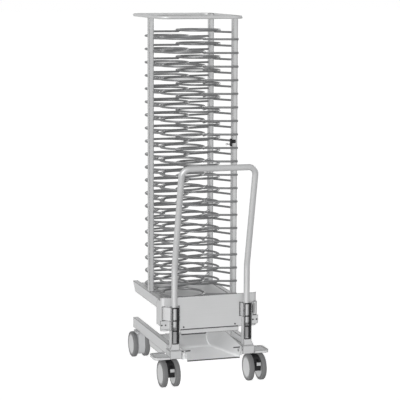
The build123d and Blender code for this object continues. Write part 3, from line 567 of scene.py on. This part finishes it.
class RACK_OT_finishes(bpy.types.Operator):
    """Make the finishes and give them to the CAD nodes."""

    bl_idname = "rack.finishes"
    bl_label = "Finishes"

    def execute(self, context):
        colours = context.scene.rack_finishes
        steel, pale = tuple(colours.steel), tuple(colours.disc)
        sheet = finish("satin sheet across", steel, **SATIN, stretch=ACROSS, edge=0.92)
        rail = finish("satin rail lengthways", steel, **SATIN, stretch=LENGTHWAYS, edge=0.92)
        upright = finish("satin upright", steel, **SATIN, stretch=UPWARDS, edge=0.92)
        # Painted shade: the posts' edges are darkened over a wider band.
        post = finish(
            "satin post", steel, **SATIN, stretch=UPWARDS, edge=0.7, edge_width=8.0
        )
        # Painted light: the pan is a lighter copy of the satin steel, standing for light on its
        # inside.
        pan = finish("pan sheet lightened as painted light", scaled(steel, 1.3), **SATIN, stretch=ACROSS, edge=0.6)
        paint_floor_light(pan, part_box("drip_tray")[0].z)
        # Painted shade: the tube is a darker copy of the satin steel, against the light that falls
        # on it.
        tube = finish("satin tube darkened as painted shade", scaled(steel, 0.9), **SATIN, stretch=UPWARDS)
        wire = finish(
            "drawn wire", tuple(colours.wire), 0.35, (0.38, 0.48), DRAWN, spread=0.18
        )
        zinc = finish("plated steel", ZINC_COLOUR, 0.7, (0.35, 0.45), FINE)
        tyre = finish(
            "tyre rubber", tuple(colours.tyre), 0.0, (0.65, 0.8), FINE, spread=0.1, bump=0.25
        )
        disc = finish(
            "wheel disc plastic", pale, 0.0, (0.42, 0.55), FINE, spread=0.04, edge=0.7
        )
        housing = finish(
            "caster housing plastic", tuple(colours.housing), 0.0, (0.45, 0.6), FINE, spread=0.06
        )
        black = finish(
            "black plastic", tuple(colours.black), 0.0, (0.4, 0.55), FINE, spread=0.25, bump=0.2
        )
        black.node_tree.nodes["Principled BSDF"].inputs["Specular IOR Level"].default_value = 0.2
        bumper = finish(
            "bumper plastic", scaled(pale, 1.12), 0.0, (0.5, 0.62), FINE,
            spread=0.05, bump=0.2, edge=0.8,
        )
        finish("dark screw and painted shade line", SHADE_LINE_COLOUR, 0.2, (0.45, 0.6), FINE, spread=0.25)
        finish("painted fold highlight", FOLD_HIGHLIGHT_COLOUR, 0.1, (0.35, 0.45), FINE, spread=0.05)
        given = (
            (("plate_rings",), wire),
            (("push_handle",), tube),
            (("drip_tray",), pan),
            (("post",), post),
            (("upright", "socket_wings"), upright),
            (("upper_rail", "chassis_rail", "base_plate"), rail),
            (("tyre",), tyre),
            (("wheel_hub",), disc),
            (("caster_fork_rear",), housing),
            (("caster_fork_front", "brake_pedal", "probe_clip", "tray_hinge"), black),
            (("bumper",), bumper),
            (("caster", "apron_screws"), zinc),
        )
        for node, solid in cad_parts.items():
            coat = next((made for starts, made in given if node.startswith(starts)), sheet)
            solid.data.materials.clear()
            solid.data.materials.append(coat)
        return {"FINISHED"}


# Pieces of the tower

# Centres of the rings in plan, in metres
RING_CENTRES = {
    "right": (0.056, 0.120),
    "front": (-0.060, -0.0055),
    "rear": (-0.060, 0.2455),
}
RING_STEPS = 72
RING_SIDES = 10

# Straight run of a bent wire before its post, and the posts' caps, in millimetres
LAP_LEAD = 4
CAP_INSET, CAP_BEVEL = 1, 0.5


def towards(centre, target, reach):
    """Point in plan at a given distance from a centre, on the way to a target."""
    run = Vector((target[0] - centre[0], target[1] - centre[1]))
    run.normalize()
    return (centre[0] + run.x * reach, centre[1] + run.y * reach)


def at_post(centre, post, half):
    """Where a straight wire from a centre meets a square post's face."""
    run = Vector((post[0] - centre[0], post[1] - centre[1]))
    share = max((abs(step) - half) / abs(step) if abs(step) > half else 0 for step in run)
    return (centre[0] + run.x * share, centre[1] + run.y * share)


def rounded(points, radius, steps=4):
    """Points of a polyline with its inner corners rounded."""
    result = [points[0]]
    for before, corner, after in zip(points, points[1:], points[2:]):
        corner = Vector(corner)
        first = corner - (corner - Vector(before)).normalized() * radius / 2
        last = corner + (Vector(after) - corner).normalized() * radius / 2
        for step in range(steps + 1):
            share = step / steps
            spot = first.lerp(corner, share).lerp(corner.lerp(last, share), share)
            result.append(tuple(spot))
    result.append(points[-1])
    return result


def stack_wires(stack):
    """Wires of one level of a stack, as lists of points in plan, and their welds."""
    sizes = bpy.context.scene.rack_sizes
    centre = RING_CENTRES[stack]
    start = sizes.ring_radius - sizes.wire_radius
    half = (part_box("post_left")[1].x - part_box("post_left")[0].x) / 2
    wires, welds = [], []
    for node in POST_NODES:
        if stack != "right" and node not in ("post_left", f"post_{stack}_right"):
            continue
        post = middle(node)
        if stack == "front" and node == "post_front_right":
            lap_y = post.y - half - sizes.wire_radius
            turn = (post.x - half - LAP_LEAD * MM, lap_y)
            end = (post.x + half, lap_y)
            wires.append(rounded([towards(centre, turn, start), turn, end], sizes.wire_bend))
            welds.append((post.x, lap_y + sizes.wire_radius))
        else:
            end = at_post(centre, post, half)
            wires.append([towards(centre, post, start), end])
            welds.append(end)
        welds.append(wires[-1][0])
    return centre, wires, welds


class RACK_OT_ring_wires(bpy.types.Operator):
    """Round ring wires in three stacks, with their weld beads."""

    bl_idname = "rack.ring_wires"
    bl_label = "Ring wires"

    def execute(self, context):
        sizes = context.scene.rack_sizes
        wire = finish_of("plate_rings_right")
        wires_tree, beads_tree = wire_tree(), bead_tree()
        bead_spots = []
        for stack in RING_CENTRES:
            low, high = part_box(f"plate_rings_{stack}")
            wire_z = low.z + sizes.wire_radius
            ring_z = high.z - sizes.pitch * (sizes.levels - 1) - sizes.wire_radius
            centre, wires, welds = stack_wires(stack)
            verts, edges = [], []
            for step in range(RING_STEPS):
                turn = 2 * pi * step / RING_STEPS
                verts.append((
                    centre[0] + sizes.ring_radius * cos(turn),
                    centre[1] + sizes.ring_radius * sin(turn),
                    ring_z,
                ))
                edges.append((step, (step + 1) % RING_STEPS))
            for points in wires:
                add_run(verts, edges, [(x, y, wire_z) for x, y in points])
            bead_spots.extend((x, y, wire_z) for x, y in welds)
            piece = grown(f"ring_wires_{stack}", mesh_of("wires", verts, edges), wires_tree, {
                "Levels": sizes.levels,
                "Pitch": sizes.pitch,
                "Wire Radius": sizes.wire_radius,
                "Wire Sides": RING_SIDES,
                "Finish": wire,
            })
            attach(piece, "chassis")
            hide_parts(f"plate_rings_{stack}")
        beads = grown("weld_beads", mesh_of("beads", bead_spots), beads_tree, {
            "Levels": sizes.levels,
            "Pitch": sizes.pitch,
            "Bead Radius": sizes.bead_radius,
            "Finish": wire,
        })
        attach(beads, "chassis")
        return {"FINISHED"}


class RACK_OT_post_caps(bpy.types.Operator):
    """Caps that close the tops of the square posts."""

    bl_idname = "rack.post_caps"
    bl_label = "Post caps"

    def execute(self, context):
        half = context.scene.rack_sizes.cap_height / 2
        inset = CAP_INSET * MM
        boxes = []
        for node in POST_NODES:
            low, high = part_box(node)
            boxes.append((
                (low.x + inset, low.y + inset, high.z - half),
                (high.x - inset, high.y - inset, high.z + half),
                CAP_BEVEL * MM,
            ))
        mesh = boxed_mesh("post_caps", boxes)
        mesh.materials.append(finish_of("post_left"))
        piece = new_piece("post_caps", mesh)
        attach(piece, "chassis")
        return {"FINISHED"}


# Pieces of the front and the tray, in millimetres

LUG_SCREWS_X, LUG_SCREWS_Z = (211, 229), 278
APRON_SCREW_X, APRON_SCREW_Z = 124, 262.5

# Liners stand at the slot's two walls, bands cross it and lips lie beside it on the face; all are
# black, as painted shade of the slot's dark inside
SLOT_CENTRE = 19
LINER_RUNS = ((196, 252.4), (258, 299.8), (305.2, 358.3))
LINER_REACH, LINER_HALF, LINER_INSET, LINER_BEVEL = 15.5, 0.45, 3.2, 0.2
BAND_RUNS = ((195.1, 198), (252.7, 257.7), (300, 305), (358.5, 363.5))
BAND_HALF, BAND_FRONT, BAND_BACK, BAND_BEVEL = 12.9, 0.3, 2.9, 0.4
LIP_RUNS = ((-16.5, -11.5), (5.5, 16.5))
LIP_BOTTOM, LIP_TOP, LIP_FRONT, LIP_BACK, LIP_BEVEL = 196, 363, 0.9, 0.1, 0.3

# Backing of the slot in the right wing, from the wing's far corner; it is black, as painted shade
# behind the slot
BACKING_START, BACKING_END = 29.5, 15.5
BACKING_FRONT, BACKING_BACK = 5, 0.5
BACKING_BOTTOM, BACKING_TOP = 310, 354

# Places of the dark lines of painted shade along the hem and the wings
HEM_FACE, HEM_HEIGHT, HEM_HALF = 3, 20, 138
WING_SHEET_HALF, WING_OUTER_FLAT, WING_INNER_FLAT = 1.25, 13, 4
WING_BEND_X, WING_BEND_Y, WING_BEND_FOOT, WING_BEND_HEAD = 11.5, 2.6, 9, 10
LINE_SIDES = 8

TRAY_LIP_HALF = 126
# Painted highlight: a bright line along the fold between the tray's back wall and right wall, at
# these (x, z) points.
TRAY_FOLD = ((62, 170), (57, 153), (55, 137), (60, 126), (70, 120.5))
TRAY_BACK_HALF, TRAY_BACK_Z = 62, 168.5
TRAY_ROD_X, TRAY_ROD_Y, TRAY_ROD_Z = (104, 146), -279, 160
TRAY_WALL_Y, TRAY_WALL_Z, TRAY_WALL_RUN, TRAY_WALL_RISE = -66.3, 118, 85, 71
TRAY_WALL_LIFT = 1.5

RAIL_END_GAP, RAIL_END_BEVEL = 0.2, 0.8


class RACK_OT_screws(bpy.types.Operator):
    """Pan head screws with sockets on the apron and its lugs."""

    bl_idname = "rack.screws"
    bl_label = "Screws"

    def execute(self, context):
        sizes = context.scene.rack_sizes
        radius, height = sizes.screw_radius, sizes.screw_height
        profile = [
            (0, 0), (0, radius), (0.45 * height, radius), (0.8 * height, 0.86 * radius),
            (height, 0.6 * radius), (height, 0.45 * radius), (0.35 * height, 0.42 * radius),
            (0.35 * height, 0),
        ]
        head = lathe("screw head", profile, (0, 0, 0), 1, 18)
        head.transform(Matrix.Rotation(radians(-90), 4, "Z"))
        model = new_piece("screw_model", head)
        low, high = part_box("apron_screws")
        spots = []
        for sign in SIDES.values():
            for x in LUG_SCREWS_X:
                spots.append((sign * x * MM, low.y + height, LUG_SCREWS_Z * MM))
            spots.append((sign * APRON_SCREW_X * MM, high.y, APRON_SCREW_Z * MM))
        piece = grown("apron_screw_heads", mesh_of("screws", spots), screw_tree(), {
            "Screw": model,
            "Finish": bpy.data.materials["dark screw and painted shade line"],
        })
        bpy.data.objects.remove(model)
        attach(piece, "chassis")
        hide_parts("apron_screws")
        return {"FINISHED"}


class RACK_OT_socket_liners(bpy.types.Operator):
    """Black liners, bands and lips in the handle's sockets, and the right wing's backing, as
    painted shade inside the slots.
    """

    bl_idname = "rack.socket_liners"
    bl_label = "Socket shade liners"

    def execute(self, context):
        boxes = []
        for side, sign in SIDES.items():
            low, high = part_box(f"upright_{side}")
            centre = (low.x if sign > 0 else high.x) + sign * SLOT_CENTRE * MM
            for bottom, top in LINER_RUNS:
                for wall in SIDES.values():
                    face = centre + wall * LINER_REACH * MM
                    boxes.append((
                        (face - LINER_HALF * MM, low.y + LINER_INSET * MM, bottom * MM),
                        (face + LINER_HALF * MM, high.y - LINER_INSET * MM, top * MM),
                        LINER_BEVEL * MM,
                    ))
            for bottom, top in BAND_RUNS:
                boxes.append((
                    (centre - BAND_HALF * MM, low.y + BAND_FRONT * MM, bottom * MM),
                    (centre + BAND_HALF * MM, low.y + BAND_BACK * MM, top * MM),
                    BAND_BEVEL * MM,
                ))
            for start, end in LIP_RUNS:
                boxes.append((
                    (centre + start * MM, low.y - LIP_FRONT * MM, LIP_BOTTOM * MM),
                    (centre + end * MM, low.y - LIP_BACK * MM, LIP_TOP * MM),
                    LIP_BEVEL * MM,
                ))
        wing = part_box("socket_wings_right")[1]
        boxes.append((
            (wing.x - BACKING_START * MM, wing.y - BACKING_FRONT * MM, BACKING_BOTTOM * MM),
            (wing.x - BACKING_END * MM, wing.y - BACKING_BACK * MM, BACKING_TOP * MM),
            LIP_BEVEL * MM,
        ))
        mesh = boxed_mesh("socket_liners", boxes)
        mesh.materials.append(finish_of("probe_clip"))
        piece = new_piece("socket_liners", mesh)
        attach(piece, "chassis")
        return {"FINISHED"}


def on_tray_wall(x, z):
    """Point on the inner face of the tray's back wall."""
    y = TRAY_WALL_Y + TRAY_WALL_RUN * (z - TRAY_WALL_Z) / TRAY_WALL_RISE
    return mm(x, y, z + TRAY_WALL_LIFT)


def chassis_shade_lines():
    """Runs of the dark lines of painted shade along the apron's hem and around the wings."""
    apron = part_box("apron")[0]
    face = apron.y + HEM_FACE * MM
    hem_z = apron.z + HEM_HEIGHT * MM + MM
    runs = [[(-HEM_HALF * MM, face, hem_z), (HEM_HALF * MM, face, hem_z)]]
    for side, sign in SIDES.items():
        low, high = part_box(f"socket_wings_{side}")
        inner, outer = (low.x, high.x) if sign > 0 else (high.x, low.x)
        back = high.y - WING_SHEET_HALF * MM
        for end, turn in (
            (outer, outer - sign * WING_OUTER_FLAT * MM),
            (inner, inner + sign * WING_INNER_FLAT * MM),
        ):
            runs.append([
                (turn, back - 2 * MM, high.z), (end, back - MM, high.z),
                (end, back - MM, low.z), (turn, back - 2 * MM, low.z),
            ])
    low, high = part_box("socket_wings_right")
    bend = (high.x - WING_BEND_X * MM, high.y - WING_BEND_Y * MM)
    runs.append([
        (*bend, low.z + WING_BEND_FOOT * MM),
        (*bend, high.z - WING_BEND_HEAD * MM),
    ])
    return runs


def tray_dark_lines():
    """Runs of the dark lines on the tray: painted shade along its front lip and the top of its
    back wall, and the rods at its ears.
    """
    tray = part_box("drip_tray")[0]
    lip_z = tray.z + MM
    runs = [
        [(-TRAY_LIP_HALF * MM, tray.y, lip_z), (TRAY_LIP_HALF * MM, tray.y, lip_z)],
        [on_tray_wall(-TRAY_BACK_HALF, TRAY_BACK_Z), on_tray_wall(TRAY_BACK_HALF, TRAY_BACK_Z)],
    ]
    for sign in SIDES.values():
        runs.append([mm(sign * x, TRAY_ROD_Y, TRAY_ROD_Z) for x in TRAY_ROD_X])
    return runs


class RACK_OT_dark_and_bright_lines(bpy.types.Operator):
    """Dark lines of painted shade along the hem, the wings and the tray's edges, dark rods at the
    tray's ears, and a painted highlight along the tray's fold.
    """

    bl_idname = "rack.seams"
    bl_label = "Dark and bright lines"

    def execute(self, context):
        sizes = context.scene.rack_sizes
        dark, bright = bpy.data.materials["dark screw and painted shade line"], bpy.data.materials["painted fold highlight"]
        tree = bpy.data.node_groups["Ring wires"]
        # Painted highlight: the bright line along the tray's fold.
        fold = [[on_tray_wall(x, z) for x, z in TRAY_FOLD]]
        for name, runs, radius, material, body, slot in (
            ("dark_seams", chassis_shade_lines(), sizes.shade_line_radius, dark, "chassis", "clip_plastic"),
            ("tray_edge_trim", tray_dark_lines(), sizes.tray_line_radius, dark, "tray", "clip_plastic"),
            ("tray_folds", fold, sizes.tray_line_radius, bright, "tray", "stainless_sheet"),
        ):
            verts, edges = [], []
            for run in runs:
                add_run(verts, edges, run)
            piece = grown(name, mesh_of(name, verts, edges), tree, {
                "Levels": 1,
                "Pitch": sizes.pitch,
                "Wire Radius": radius,
                "Wire Sides": LINE_SIDES,
                "Finish": material,
            })
            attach(piece, body)
        return {"FINISHED"}


class RACK_OT_rail_ends(bpy.types.Operator):
    """Blocks that close the chassis rails against the backs of the uprights."""

    bl_idname = "rack.rail_ends"
    bl_label = "Rail ends"

    def execute(self, context):
        gap = RAIL_END_GAP * MM
        boxes = []
        for side in SIDES:
            rail_low, rail_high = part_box(f"chassis_rail_{side}")
            upright_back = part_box(f"upright_{side}")[1].y
            foot_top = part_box(f"front_foot_{side}")[1].z
            boxes.append((
                (rail_low.x, upright_back + gap, foot_top + gap),
                (rail_high.x, rail_low.y - gap, rail_high.z),
                RAIL_END_BEVEL * MM,
            ))
        mesh = boxed_mesh("rail_ends", boxes)
        mesh.materials.append(finish_of("chassis_rail_left"))
        piece = new_piece("rail_ends", mesh)
        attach(piece, "chassis")
        return {"FINISHED"}


# Wheels and brakes, in millimetres

TYRE_SHOULDER, TYRE_INSET = 5.5, 0.3
SHOULDER_STEPS = 5

# Rim of a wheel disc, from the tyre's outer face and from the disc's edge
DISC_RIM = ((-1.2, 0), (-0.3, -0.9), (-0.3, -3), (-1.6, -4.2), (-1.6, -5), (-0.9, -5.8))
DISC_FIT, DISC_BORE, DISC_WALL = 0.05, 5.05, 4

# Dome of a wheel disc, from the tyre's outer face and as a share of the disc's radius
DISC_DOME = ((-0.3, 0.6), (0.1, 0.3), (0.25, 0))

PAD_BOTTOM, PAD_TOP, PAD_HALF, PAD_DEPTH, PAD_BEVEL = 11, 26, 10, 1.6, 0.7
RIB_LENGTH, RIB_RADIUS = 16, 0.7


class RACK_OT_wheels(bpy.types.Operator):
    """Turned tyres with round shoulders, and domed wheel discs."""

    bl_idname = "rack.wheels"
    bl_label = "Wheels"

    def execute(self, context):
        shoulder, inset = TYRE_SHOULDER * MM, TYRE_INSET * MM
        for corner in CORNERS:
            for side, way in SIDES.items():
                node, hub = f"tyre_{corner}_{side}", f"wheel_hub_{corner}_{side}"
                low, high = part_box(node)
                width = high.x - low.x
                radius = (high.z - low.z) / 2
                inner = low.x if way > 0 else high.x
                centre = (inner, (low.y + high.y) / 2, (low.z + high.z) / 2)
                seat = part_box(hub)
                seat_radius = (seat[1].z - seat[0].z) / 2
                tread = [(inset, seat_radius), (inset, radius - shoulder)]
                for step in range(1, SHOULDER_STEPS + 1):
                    turn = radians(90 / SHOULDER_STEPS * step)
                    tread.append((
                        inset + shoulder * (1 - cos(turn)),
                        radius - shoulder + shoulder * sin(turn),
                    ))
                tread += [(width - reach, far) for reach, far in reversed(tread)]
                tyre = new_piece(f"tyre_tread_{corner}_{side}", lathe("tread", tread, centre, way))
                tyre.data.materials.append(finish_of(node))
                edge = seat_radius - DISC_FIT * MM
                wall, bore = width - DISC_WALL * MM, DISC_BORE * MM
                shape = [(wall, 0), (wall, bore), (0, bore), (0, edge)]
                shape += [(width + reach * MM, edge + rise * MM) for reach, rise in DISC_RIM]
                shape += [(width + reach * MM, share * edge) for reach, share in DISC_DOME]
                disc = new_piece(f"wheel_disc_{corner}_{side}", lathe("disc", shape, centre, way))
                disc.data.materials.append(finish_of(hub))
                for piece, replaced, slot in ((tyre, node, "tyre"), (disc, hub, "wheel_disc")):
                    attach(piece, f"wheel_{corner}_{side}")
                    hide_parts(replaced)
        return {"FINISHED"}


class RACK_OT_brake_pads(bpy.types.Operator):
    """Grey ribbed pads on the brake pedals."""

    bl_idname = "rack.brake_pads"
    bl_label = "Brake pads"

    def execute(self, context):
        sizes = context.scene.rack_sizes
        grey = finish_of("caster_fork_rear_left")
        tree = rib_tree()
        for corner in CORNERS[:2]:
            low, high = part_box(f"brake_pedal_{corner}")
            middle_x = (low.x + high.x) / 2
            bottom, top = low.z + PAD_BOTTOM * MM, low.z + PAD_TOP * MM
            front = low.y - PAD_DEPTH * MM
            mesh = boxed_mesh("pad", [(
                (middle_x - PAD_HALF * MM, front, bottom),
                (middle_x + PAD_HALF * MM, low.y, top),
                PAD_BEVEL * MM,
            )])
            step = (top - bottom) / (sizes.pad_ribs + 1)
            piece = grown(f"brake_pad_{corner}", mesh, tree, {
                "Ribs": sizes.pad_ribs,
                "First Rib": (middle_x, front, bottom + step),
                "Rib Step": step,
                "Rib Length": RIB_LENGTH * MM,
                "Rib Radius": RIB_RADIUS * MM,
                "Finish": grey,
            })
            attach(piece, f"pedal_{corner}")
        return {"FINISHED"}


# Stage and sidebar

FLOOR_REACH = 60.0
FLOOR_COLOUR = (0.9, 0.9, 0.9, 1)
FLOOR_GLOW = 0.55
WHITE = (1, 1, 1, 1)
SKY_LOW, SKY_HIGH = 0.5, 0.06

# Name, tilt, turn, strength, spread and whether it casts a shadow, with angles in degrees
LAMPS = (
    ("key light", 66, -30, 0.4, 50, True),
    ("flat light", 75, -41, 2.62, 20, False),
    ("fill light", 78, 125, 1.1, 20, False),
)
CAMERA_PLACE = (-2.1839, -6.9062, 1.8860)
CAMERA_HEADING, CAMERA_DROP, CAMERA_ROLL = -17.77, 8.44, 0.21
CAMERA_LENS, CAMERA_SENSOR, CAMERA_REACH = 140.49, 36.0, 200.0


def seen_by(nodes, links, *rays):
    """Output that is 1 for rays of the kinds named."""
    path = nodes.new("ShaderNodeLightPath")
    seen = path.outputs[rays[0]]
    for ray in rays[1:]:
        either = nodes.new("ShaderNodeMath")
        either.operation = "MAXIMUM"
        links.new(seen, either.inputs[0])
        links.new(path.outputs[ray], either.inputs[1])
        seen = either.outputs[0]
    return seen


def pale_floor():
    """Matte floor material that looks white and keeps the shadows."""
    pale = bpy.data.materials.new("pale floor")
    pale.use_nodes = True
    nodes, links = pale.node_tree.nodes, pale.node_tree.links
    nodes.clear()
    out = nodes.new("ShaderNodeOutputMaterial")
    matte = nodes.new("ShaderNodeBsdfDiffuse")
    matte.inputs["Color"].default_value = FLOOR_COLOUR
    glow = nodes.new("ShaderNodeEmission")
    glow.inputs["Color"].default_value = WHITE
    lift = nodes.new("ShaderNodeMath")
    lift.operation = "MULTIPLY"
    lift.inputs[1].default_value = FLOOR_GLOW
    both = nodes.new("ShaderNodeAddShader")
    links.new(seen_by(nodes, links, "Is Camera Ray", "Is Glossy Ray"), lift.inputs[0])
    links.new(lift.outputs[0], glow.inputs["Strength"])
    links.new(matte.outputs[0], both.inputs[0])
    links.new(glow.outputs[0], both.inputs[1])
    links.new(both.outputs[0], out.inputs["Surface"])
    return pale


def studio():
    """World that looks white and lights the rack softly, less from above."""
    world = bpy.data.worlds.new("studio")
    world.use_nodes = True
    nodes, links = world.node_tree.nodes, world.node_tree.links
    sky = nodes["Background"]
    sky.inputs["Color"].default_value = WHITE
    place = nodes.new("ShaderNodeTexCoord")
    height = nodes.new("ShaderNodeSeparateXYZ")
    shade = nodes.new("ShaderNodeMapRange")
    shade.inputs["To Min"].default_value = SKY_LOW
    shade.inputs["To Max"].default_value = SKY_HIGH
    level = nodes.new("ShaderNodeMapRange")
    level.inputs["To Max"].default_value = 1.0
    seen = seen_by(nodes, links, "Is Camera Ray", "Is Glossy Ray", "Is Transmission Ray")
    links.new(place.outputs["Generated"], height.inputs[0])
    links.new(height.outputs["Z"], shade.inputs["Value"])
    links.new(shade.outputs["Result"], level.inputs["To Min"])
    links.new(seen, level.inputs["Value"])
    links.new(level.outputs["Result"], sky.inputs["Strength"])
    return world


class RACK_OT_stage(bpy.types.Operator):
    """Pale floor, soft light and the camera."""

    bl_idname = "rack.stage"
    bl_label = "Stage"

    def execute(self, context):
        scene = context.scene
        scene.view_settings.view_transform = "Standard"
        signs = ((-1, -1), (1, -1), (1, 1), (-1, 1))
        corners = [(x * FLOOR_REACH, y * FLOOR_REACH, 0) for x, y in signs]
        floor = new_piece("floor", mesh_of("floor", corners, faces=[(0, 1, 2, 3)]))
        floor.data.materials.append(pale_floor())
        scene.world = studio()

        for name, tilt, turn, energy, spread, shadow in LAMPS:
            lamp = bpy.data.lights.new(name, "SUN")
            lamp.energy = energy
            lamp.angle = radians(spread)
            lamp.use_shadow = shadow
            light = bpy.data.objects.new(name, lamp)
            light.rotation_euler = (radians(tilt), 0, radians(turn))
            scene.collection.objects.link(light)

        camera = bpy.data.objects.new("camera", bpy.data.cameras.new("camera"))
        camera.data.lens = CAMERA_LENS
        camera.data.sensor_width = CAMERA_SENSOR
        camera.data.clip_end = CAMERA_REACH
        heading = Matrix.Rotation(radians(CAMERA_HEADING), 4, "Z")
        pitch = Matrix.Rotation(radians(90 - CAMERA_DROP), 4, "X")
        roll = Matrix.Rotation(radians(CAMERA_ROLL), 4, "Z")
        camera.matrix_world = Matrix.Translation(CAMERA_PLACE) @ heading @ pitch @ roll
        scene.collection.objects.link(camera)
        scene.camera = camera
        return {"FINISHED"}


class RACK_PT_sidebar(bpy.types.Panel):
    """Lists the rack's operators and sizes."""

    bl_idname = "RACK_PT_sidebar"
    bl_label = "Plate rack"
    bl_space_type = "VIEW_3D"
    bl_region_type = "UI"
    bl_category = "Rack"

    def draw(self, context):
        for operator in OPERATORS:
            self.layout.operator(operator.bl_idname)
        for group in (context.scene.rack_sizes, context.scene.rack_finishes):
            for key in group.__annotations__:
                self.layout.prop(group, key)


OPERATORS = (
    RACK_OT_finishes,
    RACK_OT_ring_wires,
    RACK_OT_post_caps,
    RACK_OT_screws,
    RACK_OT_socket_liners,
    RACK_OT_dark_and_bright_lines,
    RACK_OT_rail_ends,
    RACK_OT_wheels,
    RACK_OT_brake_pads,
    RACK_OT_stage,
)
CLASSES = (RackSizes, RackFinishes) + OPERATORS + (RACK_PT_sidebar,)


def register():
    """Register the classes and put their sizes on the scene."""
    for kind in CLASSES:
        bpy.utils.register_class(kind)
    bpy.types.Scene.rack_sizes = bpy.props.PointerProperty(type=RackSizes)
    bpy.types.Scene.rack_finishes = bpy.props.PointerProperty(type=RackFinishes)


def unregister():
    """Take the sizes and classes away again."""
    del bpy.types.Scene.rack_finishes
    del bpy.types.Scene.rack_sizes
    for kind in reversed(CLASSES):
        bpy.utils.unregister_class(kind)


def main():
    """Dress the rack."""
    register()
    bpy.ops.rack.finishes()
    bpy.ops.rack.ring_wires()
    bpy.ops.rack.post_caps()
    bpy.ops.rack.screws()
    bpy.ops.rack.socket_liners()
    bpy.ops.rack.seams()
    bpy.ops.rack.rail_ends()
    bpy.ops.rack.wheels()
    bpy.ops.rack.brake_pads()
    bpy.ops.rack.stage()


if __name__ == "__main__":
    main()
